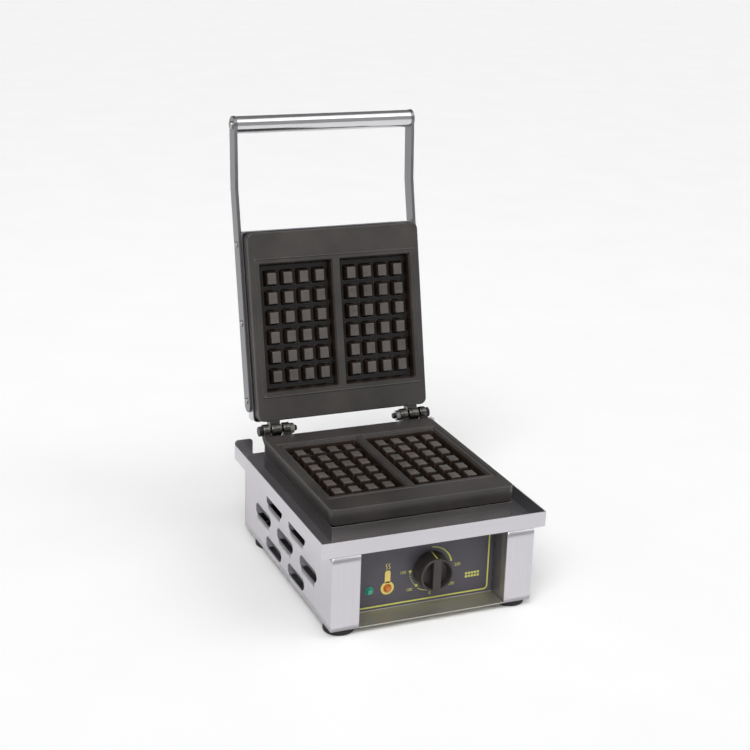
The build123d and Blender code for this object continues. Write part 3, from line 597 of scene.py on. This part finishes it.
def nutShell(side):
    segments = 48
    t = np.arange(segments) * 2 * math.pi / segments
    hexR = hexagon(t + 0.3, bolt["across"])
    low, high = hinge["inner"][0] - bolt["nutHeight"], hinge["inner"][0]
    bore = np.full(segments, bolt["radius"])
    end = np.minimum(hexR, bolt["endRound"])
    rings = [(low, bore), (low, end), (low + bolt["chamfer"], hexR), (high - bolt["chamfer"], hexR),
             (high, end), (high, bore)]
    return turnedX(rings, place["hinge"], segments, side, closed=True)


makePiece("hinge_bolts_threaded", joined([boltShell(-1), boltShell(1)]), "blackSteel", "base",
          ["hinge_bolts"], 30)
makePiece("hinge_nuts_hexagon", joined([nutShell(-1), nutShell(1)]), "zinc", "base",
          ["hinge_nuts"], 30)


handle = {"reach": 417.0, "rise": 15.0, "radius": 12.0, "bore": 10.5, "half": 128.0, "soft": 0.35}
handleCentre = openLid([[0, -handle["reach"], handle["rise"]]])[0]
s = handle["soft"]
handleRings = [(-handle["half"], handle["bore"] + s), (-handle["half"], handle["radius"] - s),
               (-handle["half"] + s, handle["radius"]), (handle["half"] - s, handle["radius"]),
               (handle["half"], handle["radius"] - s), (handle["half"], handle["bore"] + s),
               (handle["half"] - s, handle["bore"]), (-handle["half"] + s, handle["bore"])]
makePiece("handle_tube_buffed", turnedX(handleRings, handleCentre, 128, closed=True), "tubeSteel", "lid",
          ["handle_tube"])


foot = {"radius": 20.0, "height": 9.5, "recess": 6.0, "recessHeight": 4.5, "hole": 2.6,
        "fromSide": 19.5, "fromRim": (24.0, 284.0)}


def footShell(x, y):
    r, h = foot["radius"], foot["height"]
    recess, recessTop = foot["recess"], foot["recessHeight"]
    rings = [(recessTop, foot["hole"]), (recessTop, recess), (0.3, recess), (0.0, recess + 0.3),
             (0.0, r - 2.0), (0.25, r - 1.2), (0.9, r - 0.45), (1.9, r - 0.1), (3.0, r),
             (6.0, r - 0.25), (8.4, r - 0.7), (9.1, r - 0.95), (h, r - 1.6), (h, foot["hole"])]
    return turnedZ(rings, (x, y), 72, closed=True)


footX = place["boxHalf"] - foot["fromSide"]
footShells = [footShell(side * footX, place["rimFront"] + y) for side in (-1, 1) for y in foot["fromRim"]]
makePiece("rubber_feet_moulded", joined(footShells), "rubber", "base", ["rubber_feet"])
print("bolts, handle and feet made")


panel = {
    "bend": 1.6, "sheet": 1.0, "flange": 14.0, "louvreWidth": 61.0, "louvreHeight": 16.0,
    "louvreDepth": 8.0, "first": 83.0, "pitch": 43.5, "topRow": 41.0, "rowPitch": 31.5,
    # the last entry is how far inside the panel's face a pressed face must lie to get the painted shade
    "rows": ((1, 3), (0, 2, 4), (1, 3)), "foldMargin": 3.0, "paintedShadeFrom": 0.35,
}


# a plan path of straight runs with round bends: a bend's points are its corner, less bend (1 - sin a)
# along the way in, plus bend (1 - cos a) along the way out
def foldedPath(corners, bend):
    path = [np.array(corners[0], float)]
    for before, here, after in zip(corners[:-2], corners[1:-1], corners[2:]):
        before, here, after = (np.array(c, float) for c in (before, here, after))
        into = (here - before) / np.linalg.norm(here - before)
        away = (after - here) / np.linalg.norm(after - here)
        for a in np.radians([0, 22.5, 45, 67.5, 90]):
            path.append(here - into * bend * (1 - math.sin(a)) + away * bend * (1 - math.cos(a)))
    path.append(np.array(corners[-1], float))
    return np.array(path)


# louvre depth at (y, z): a ramp from nothing at the top to full depth at the lower lip, times the root of
# 1 - end^2 / (1 - height^2), which is 1 between the round ends and 0 on their outline
def louvreDepth(y, z, yMid, zMid, p):
    radius = p["louvreHeight"] / 2
    up = np.clip((z - zMid) / radius, -1, 1)
    end = np.clip((np.abs(y - yMid) - p["louvreWidth"] / 2 + radius) / radius, 0, 1)
    within = np.clip(1 - end ** 2 / np.maximum(1 - up ** 2, 1e-3), 0, 1)
    return p["louvreDepth"] * (1 - up) / 2 * np.sqrt(within)


def sidePanel(name, node, side):
    p, half, front, back = panel, place["boxHalf"], place["boxFront"], place["boxBack"] - panel["sheet"]
    opening, z0, z1 = place["openingHalf"], place["boxBottom"], place["trayBottom"]
    corners = [(-half + p["flange"], back), (-half, back), (-half, front), (-opening, front),
               (-opening, place["labelFace"] + 0.5)]
    path = foldedPath(corners, p["bend"])
    yMids = place["rimFront"] + p["first"] + p["pitch"] * np.arange(5)
    zMids = place["rimTop"] - p["topRow"] - p["rowPitch"] * np.arange(3)
    # extra lines on the long side where louvres begin, end and round off
    roundEnd = p["louvreHeight"] / 2 * (1 - np.sin(np.linspace(0, 1, 11) * math.pi / 2))
    offsets = np.r_[p["louvreWidth"] / 2 - roundEnd, 0, 8, 16]
    extra = np.unique(np.round((yMids[:, None] + np.r_[offsets, -offsets]).ravel(), 2))[::-1]
    extra = extra[np.r_[True, -np.diff(extra) > 0.2]]
    extra = extra[(extra < back - p["foldMargin"]) & (extra > front + p["foldMargin"])]
    sideStart = 6  # after the flange's end and the five points of its bend
    between = np.column_stack([np.full(len(extra), -half), extra])
    path = np.concatenate([path[:sideStart], between, path[sideStart:]])
    onSide = (np.arange(len(path)) >= sideStart) & (np.arange(len(path)) < sideStart + len(extra))
    rise = (1 - np.cos(np.linspace(0, 1, 17) * math.pi)) / 2 * p["louvreHeight"]
    cuts = zMids - p["louvreHeight"] / 2
    # the slot's lip has two lines at one height
    zs = np.sort(np.concatenate([[z0, z1], cuts] + [cut + rise for cut in cuts]))
    lowerLip = np.r_[np.diff(zs) < 1e-6, False]
    grid = np.zeros((len(zs), len(path), 3))
    grid[..., 0], grid[..., 1] = path[:, 0], path[:, 1]
    grid[..., 2] = zs[:, None]
    depth = np.zeros((len(zs), len(path)))
    y, z = np.meshgrid(path[:, 1], zs)
    for row, columns in enumerate(p["rows"]):
        band = (zs >= cuts[row] - 1e-6) & (zs <= cuts[row] + p["louvreHeight"] + 1e-6) & ~lowerLip
        for column in columns:
            near = (np.abs(y - yMids[column]) <= p["louvreWidth"] / 2) & band[:, None] & onSide[None, :]
            depth = np.where(near, louvreDepth(y, z, yMids[column], zMids[row], p), depth)
    grid[..., 0] += depth
    faces = gridFaces(len(zs), len(path)).reshape(len(zs) - 1, len(path) - 1, 4)
    chosen = faces[~lowerLip[:-1]].reshape(-1, 4)  # nothing joins the lip's two lines: that is the slot
    points = grid.reshape(-1, 3) * [1 if side < 0 else -1, 1, 1]
    if side > 0:
        chosen = chosen[:, ::-1]
    piece = makePiece(name, (points, chosen), "steelZ", "base", [node], 40, turnOut=False)
    # the pressed faces, which lie inside the panel's plane, carry the painted shade
    piece.data.materials.append(materials["paintedShade"])
    middles = np.zeros(len(piece.data.polygons) * 3)
    piece.data.polygons.foreach_get("center", middles)
    middles = middles.reshape(-1, 3) / mm
    outwards, lengthways = np.abs(middles[:, 0]), middles[:, 1]
    # faces pressed in past that margin get the painted shade
    pressed = (outwards < half - p["paintedShadeFrom"]) & (outwards > half - p["louvreDepth"] - p["sheet"])
    pressed &= (lengthways > front + p["foldMargin"]) & (lengthways < back - p["foldMargin"])
    piece.data.polygons.foreach_set("material_index", pressed.astype(np.int32))
    wall = piece.modifiers.new("sheetThickness", "SOLIDIFY")
    wall.thickness = p["sheet"] * mm
    wall.offset = -1
    wall.use_even_offset = False
    return piece


leftPanel = sidePanel("left_panel_folded", "left_side_panel", -1)
sidePanel("right_panel_folded", "right_side_panel", 1)
print("side panels made:", len(leftPanel.data.polygons), "faces each")


formed = {
    "tray_pan": (0.4, "traySteel", "satin_stainless"),
    "plate_skirt": (0.3, "skirtSteel", "satin_stainless"),
    "control_panel": (0.3, "recessSteel", "satin_stainless"),
    "lid_cover": (0.4, "steelX", "satin_stainless"),
    "back_panel": (0.3, "steelX", "satin_stainless"),
    "bottom_plate": (0.3, "steelX", "satin_stainless"),
    "left_arm": (0.4, "armSteel", "satin_stainless"),
    "right_arm": (0.4, "armSteel", "satin_stainless"),
    "knob": (0.5, "phenolic", "black_plastic"),
    "cable_gland": (0.4, "phenolic", "black_plastic"),
    "green_lamp": (0.2, "greenLens", "green_lens"),
    "amber_lamp": (0.2, "amberLens", "amber_lens"),
}


# the tray's inside, which gets the painted shade: faces over its floor that look up or towards its middle,
# short of the rim's outer sides
def insideTray(middle, normal):
    inward = normal.x * middle.x < -0.5 * abs(middle.x) or normal.y * middle.y < -0.5 * abs(middle.y)
    within = place["trayBottom"] + 0.5 < middle.z < place["rimTop"] - 1
    return within and (normal.z > 0.5 or inward)


for node, (radius, material, slotName) in formed.items():
    rounded(node, radius, material, ("trayInside", insideTray) if node == "tray_pan" else None)

carried = {
    "panel_rivets": "zinc", "control_label": "overlay", "lamp_sockets": "glassFibre",
    "thermostat": "glassFibre", "capillary_bulb": "copper", "thermostat_shaft": "zinc",
    "knob_pointer": "ink", "back_screws": "zinc",
    "terminal_block": "steatite", "foot_screws": "zinc", "plate_posts": "zinc", "lower_element": "sheath",
    "lower_clamp": "zinc", "lower_insulation": "board", "upper_element": "sheath", "upper_clamp": "zinc",
    "upper_insulation": "board", "cover_screws": "zinc", "arm_screws": "zinc", "handle_plugs": "zinc",
    "handle_screws": "zinc",
}
for node, material in carried.items():
    nodes[node].data.materials.clear()
    nodes[node].data.materials.append(materials[material])
print("formed parts:", len(formed), "carried parts:", len(carried))


printing = {
    "thickness": 0.06, "line": 2.0, "inset": 7.5, "bottom": 15.5, "top": 109.0, "round": 5.0, "arc": 30.0,
    "digitHeight": 4.2,
    "numbers": (("0", 10.6, 22.6), ("100", -18.5, 31.5), ("150", -28.0, 57.0), ("250", 48.0, 57.0),
                ("300", 40.5, 31.0)),
    "squareX": 60.0, "squareZ": 37.5, "squarePitchX": 4.2, "squarePitchZ": 4.4,
    "squareWidth": 3.2, "squareHeight": 3.0,
}


# a strip of the given width along a flat path: each point moved half the width to both sides
def ribbon(path, width):
    path = np.asarray(path, float)
    step = np.gradient(path, axis=0)
    normal = np.stack([-step[:, 1], step[:, 0]], -1)
    normal /= np.maximum(np.linalg.norm(normal, axis=1, keepdims=True), 1e-9)
    half = np.broadcast_to(np.asarray(width, float) / 2, (len(path),))[:, None]
    flat = np.concatenate([path + normal * half, path - normal * half])
    return flat, gridFaces(2, len(path))


# a disc: rings of points at even turns about its middle
def disc(middle, radius, inner=0.0, count=40):
    t = np.arange(count) * 2 * math.pi / count
    rows = [np.stack([middle[0] + r * np.cos(t), middle[1] + r * np.sin(t)], -1)
            for r in (max(inner, 0.01), radius)]
    return np.concatenate(rows), gridFaces(2, count, False, True)


# flat (x, z) shapes laid on the overlay as a closed skin of ink
def inkOn(name, shapes, material):
    flat, faces = joined(shapes)
    count = len(flat)
    y = place["labelFace"]
    low = np.column_stack([flat[:, 0], np.full(count, y + 0.01), flat[:, 1]])
    high = low - [0, printing["thickness"], 0]
    points = np.concatenate([low, high])
    faces = [tuple(f) for f in faces]
    edges = {}
    for f in faces:
        for a, b in zip(f, f[1:] + f[:1]):
            edges[(a, b)] = edges.get((a, b), 0) + 1
    sides = [(a, b, b + count, a + count) for a, b in edges if (b, a) not in edges]
    everything = [f[::-1] for f in faces] + [tuple(i + count for i in f) for f in faces] + sides
    return makePiece(name, (points, everything), material, "base")


def polar(radius, degrees):
    a = np.radians(degrees)
    return np.stack([place["knob"][0] + radius * np.cos(a), place["knob"][1] + radius * np.sin(a)], -1)


edgeX = place["openingHalf"] - printing["inset"]
r = printing["round"]
bendA = np.radians(np.linspace(180, 270, 10))
bendB = np.radians(np.linspace(270, 360, 10))
border = np.concatenate([
    [(-edgeX, printing["top"])],
    np.stack([-edgeX + r + r * np.cos(bendA), printing["bottom"] + r + r * np.sin(bendA)], -1),
    np.stack([edgeX - r + r * np.cos(bendB), printing["bottom"] + r + r * np.sin(bendB)], -1),
    [(edgeX, printing["top"])],
])
sweep = np.linspace(88, 12, 30)
shapes = [
    ribbon(border, printing["line"]),
    ribbon(polar(printing["arc"], sweep), np.linspace(0.9, 2.4, 30)),
    ribbon(polar(printing["arc"], np.linspace(268, 236, 12)), 0.8),
    disc(polar(printing["arc"] - 2, 180), 1.9),
    disc(polar(printing["arc"] - 2, 228), 1.9),
]
shapes += [disc(polar(printing["arc"] - 1.5, a), 0.75, count=16) for a in (187, 194, 201, 208, 215, 221)]
# two rows of small waffle squares as a plain pictogram
for i in range(5):
    for j in range(2):
        x = printing["squareX"] + printing["squarePitchX"] * i
        z = printing["squareZ"] + printing["squarePitchZ"] * j
        shapes.append(ribbon([(x, z), (x + printing["squareWidth"], z)], printing["squareHeight"]))
inkOn("overlay_printing", shapes, "ink")

# a thermometer round the amber lamp: bulb ring, stem and two short curls of heat
ax, az = place["amber"]
stem = [(ax, az + 7.0), (ax, az + 22.0), (ax, az + 23.6), (ax, az + 24.4)]
icon = [disc((ax, az), 9.0, 5.0, 48), ribbon(stem, [7.6, 7.6, 5.6, 2.4])]
wave = np.linspace(0, 1, 12)
for shift in (-2.6, 1.2):
    curl = np.stack([ax + shift + 1.3 * np.sin(wave * 2 * math.pi) + 1.5 * wave, az + 26.0 + wave * 8.0], -1)
    icon.append(ribbon(curl, 0.9))
inkOn("overlay_thermometer", icon, "iconInk")


# a number as flat letters, made a mesh before it is put in place
def number(text, x, z, height):
    curve = bpy.data.curves.new("number" + text, "FONT")
    curve.body = text
    curve.size = height * 1.38 * mm
    curve.align_x = curve.align_y = "CENTER"
    curve.extrude = 0.00003
    curve.resolution_u = 4
    holder = bpy.data.objects.new("numberHolder" + text, curve)
    bpy.context.scene.collection.objects.link(holder)
    bpy.context.view_layer.update()
    mesh = bpy.data.meshes.new_from_object(holder)
    bpy.data.objects.remove(holder)
    mesh.transform(Matrix.Translation((x * mm, (place["labelFace"] - 0.03) * mm, z * mm))
                   @ Matrix.Rotation(math.pi / 2, 4, "X"))
    mesh.materials.clear()
    mesh.materials.append(materials["ink"])
    piece = bpy.data.objects.new("dial_number_" + text, mesh)
    bpy.context.scene.collection.objects.link(piece)
    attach(piece, "base")


for text, x, z in printing["numbers"]:
    number(text, x, z, printing["digitHeight"])
print("overlay printed")


floorMesh = bpy.data.meshes.new("floor")
floorMesh.from_pydata([(-14, -14, 0), (14, -14, 0), (14, 14, 0), (-14, 14, 0)], [], [(0, 1, 2, 3)])
floor = bpy.data.objects.new("floor", floorMesh)
bpy.context.scene.collection.objects.link(floor)
paper, tree, shader, coords = newMaterial("paleStudioPaper", {"Roughness": 0.9, "Specular IOR Level": 0.2})
fibre = addNode(tree, "TexNoise", values={"Scale": 6.0, "Detail": 3.0}, links={"Vector": coords})
tone = setStops(addNode(tree, "ValToRGB", links={"Fac": fibre.outputs["Fac"]}),
                [(0.3, "#F6F6F6"), (0.7, "#F8F8F8")])
tree.links.new(tone.outputs["Color"], shader.inputs["Base Color"])
floorMesh.materials.append(paper)

# the air's brightness by the turn from the front horizon (0) over the top (0.5) to the back horizon (1),
# as (turn, grey) pairs: a grey room in front, a bright softbox high in front, dark overhead and behind
studio = {
    "turns": ((0.0, 0.36), (0.23, 0.33), (0.27, 1.6), (0.36, 1.6), (0.4, 0.2), (0.7, 0.16), (0.95, 0.12)),
    "sides": 0.6, "strength": 1.0, "backdrop": "#F7F7F7",
}
world = bpy.data.worlds.new("studioAir")
bpy.context.scene.world = world
world.use_nodes = True
tree = world.node_tree
tree.nodes.clear()
axes = addNode(tree, "SeparateXYZ", links={"Vector": addNode(tree, "TexCoord").outputs["Generated"]})
front = addNode(tree, "Math", {"operation": "MULTIPLY"}, {1: -1.0}, {0: axes.outputs["Y"]})
turn = addNode(tree, "Math", {"operation": "ARCTAN2"}, links={0: axes.outputs["Z"], 1: front.outputs[0]})
share = addNode(tree, "Math", {"operation": "DIVIDE"}, {1: math.pi}, {0: turn.outputs[0]})
bands = setStops(addNode(tree, "ValToRGB", links={"Fac": share.outputs[0]}), studio["turns"])
aside = addNode(tree, "Math", {"operation": "ABSOLUTE"}, links={0: axes.outputs["X"]})
sideways = addNode(tree, "Math", {"operation": "POWER"}, {1: 2.0}, {0: aside.outputs[0]})
allRound = addNode(tree, "Mix", {"data_type": "RGBA"}, {7: (studio["sides"],) * 3 + (1.0,)},
                   {0: sideways.outputs[0], 6: bands.outputs["Color"]})
air = addNode(tree, "Background", values={"Strength": studio["strength"]},
              links={"Color": allRound.outputs[2]})
backdrop = addNode(tree, "Background", values={"Color": paint(studio["backdrop"])})
seen = addNode(tree, "MixShader", links={0: addNode(tree, "LightPath").outputs["Is Camera Ray"],
                                         1: air.outputs["Background"], 2: backdrop.outputs["Background"]})
addNode(tree, "OutputWorld", links={"Surface": seen.outputs[0]})


# a lamp pointing at a place
def addLamp(name, kind, position, target, settings):
    data = bpy.data.lights.new(name, kind)
    for key, value in settings.items():
        setattr(data, key, value)
    lamp = bpy.data.objects.new(name, data)
    lamp.location = position
    lamp.rotation_mode = "QUATERNION"
    lamp.rotation_quaternion = (Vector(target) - Vector(position)).to_track_quat("-Z", "Y")
    bpy.context.scene.collection.objects.link(lamp)


addLamp("keySun", "SUN", (-2.0, -2.6, 4.0), (0, 0, 0.1), {"energy": 1.5, "angle": math.radians(35)})
addLamp("fillSun", "SUN", (2.5, -1.0, 3.0), (0, 0, 0.1), {"energy": 0.66, "angle": math.radians(50)})
addLamp("topSoftbox", "AREA", (-0.3, 0.2, 2.4), (0, 0.05, 0.2),
        {"energy": 5, "shape": "RECTANGLE", "size": 1.6, "size_y": 1.0})

# a long lens in front of the machine's left corner, a little over its lid: place in metres, turn in degrees
view = {"lens": 74.44, "sensor": 36.0, "place": (-0.77181, -1.78744, 0.93355),
        "turn": (70.8771, -1.8683, -22.7669)}
camera = bpy.data.objects.new("camera", bpy.data.cameras.new("camera"))
camera.data.lens = view["lens"]
camera.data.sensor_width = view["sensor"]
camera.data.clip_start, camera.data.clip_end = 0.05, 60
camera.location = view["place"]
camera.rotation_euler = [math.radians(a) for a in view["turn"]]
bpy.context.scene.collection.objects.link(camera)
bpy.context.view_layer.update()
bpy.context.scene.camera = camera
bpy.context.scene.view_settings.view_transform = "Standard"
print("studio set")
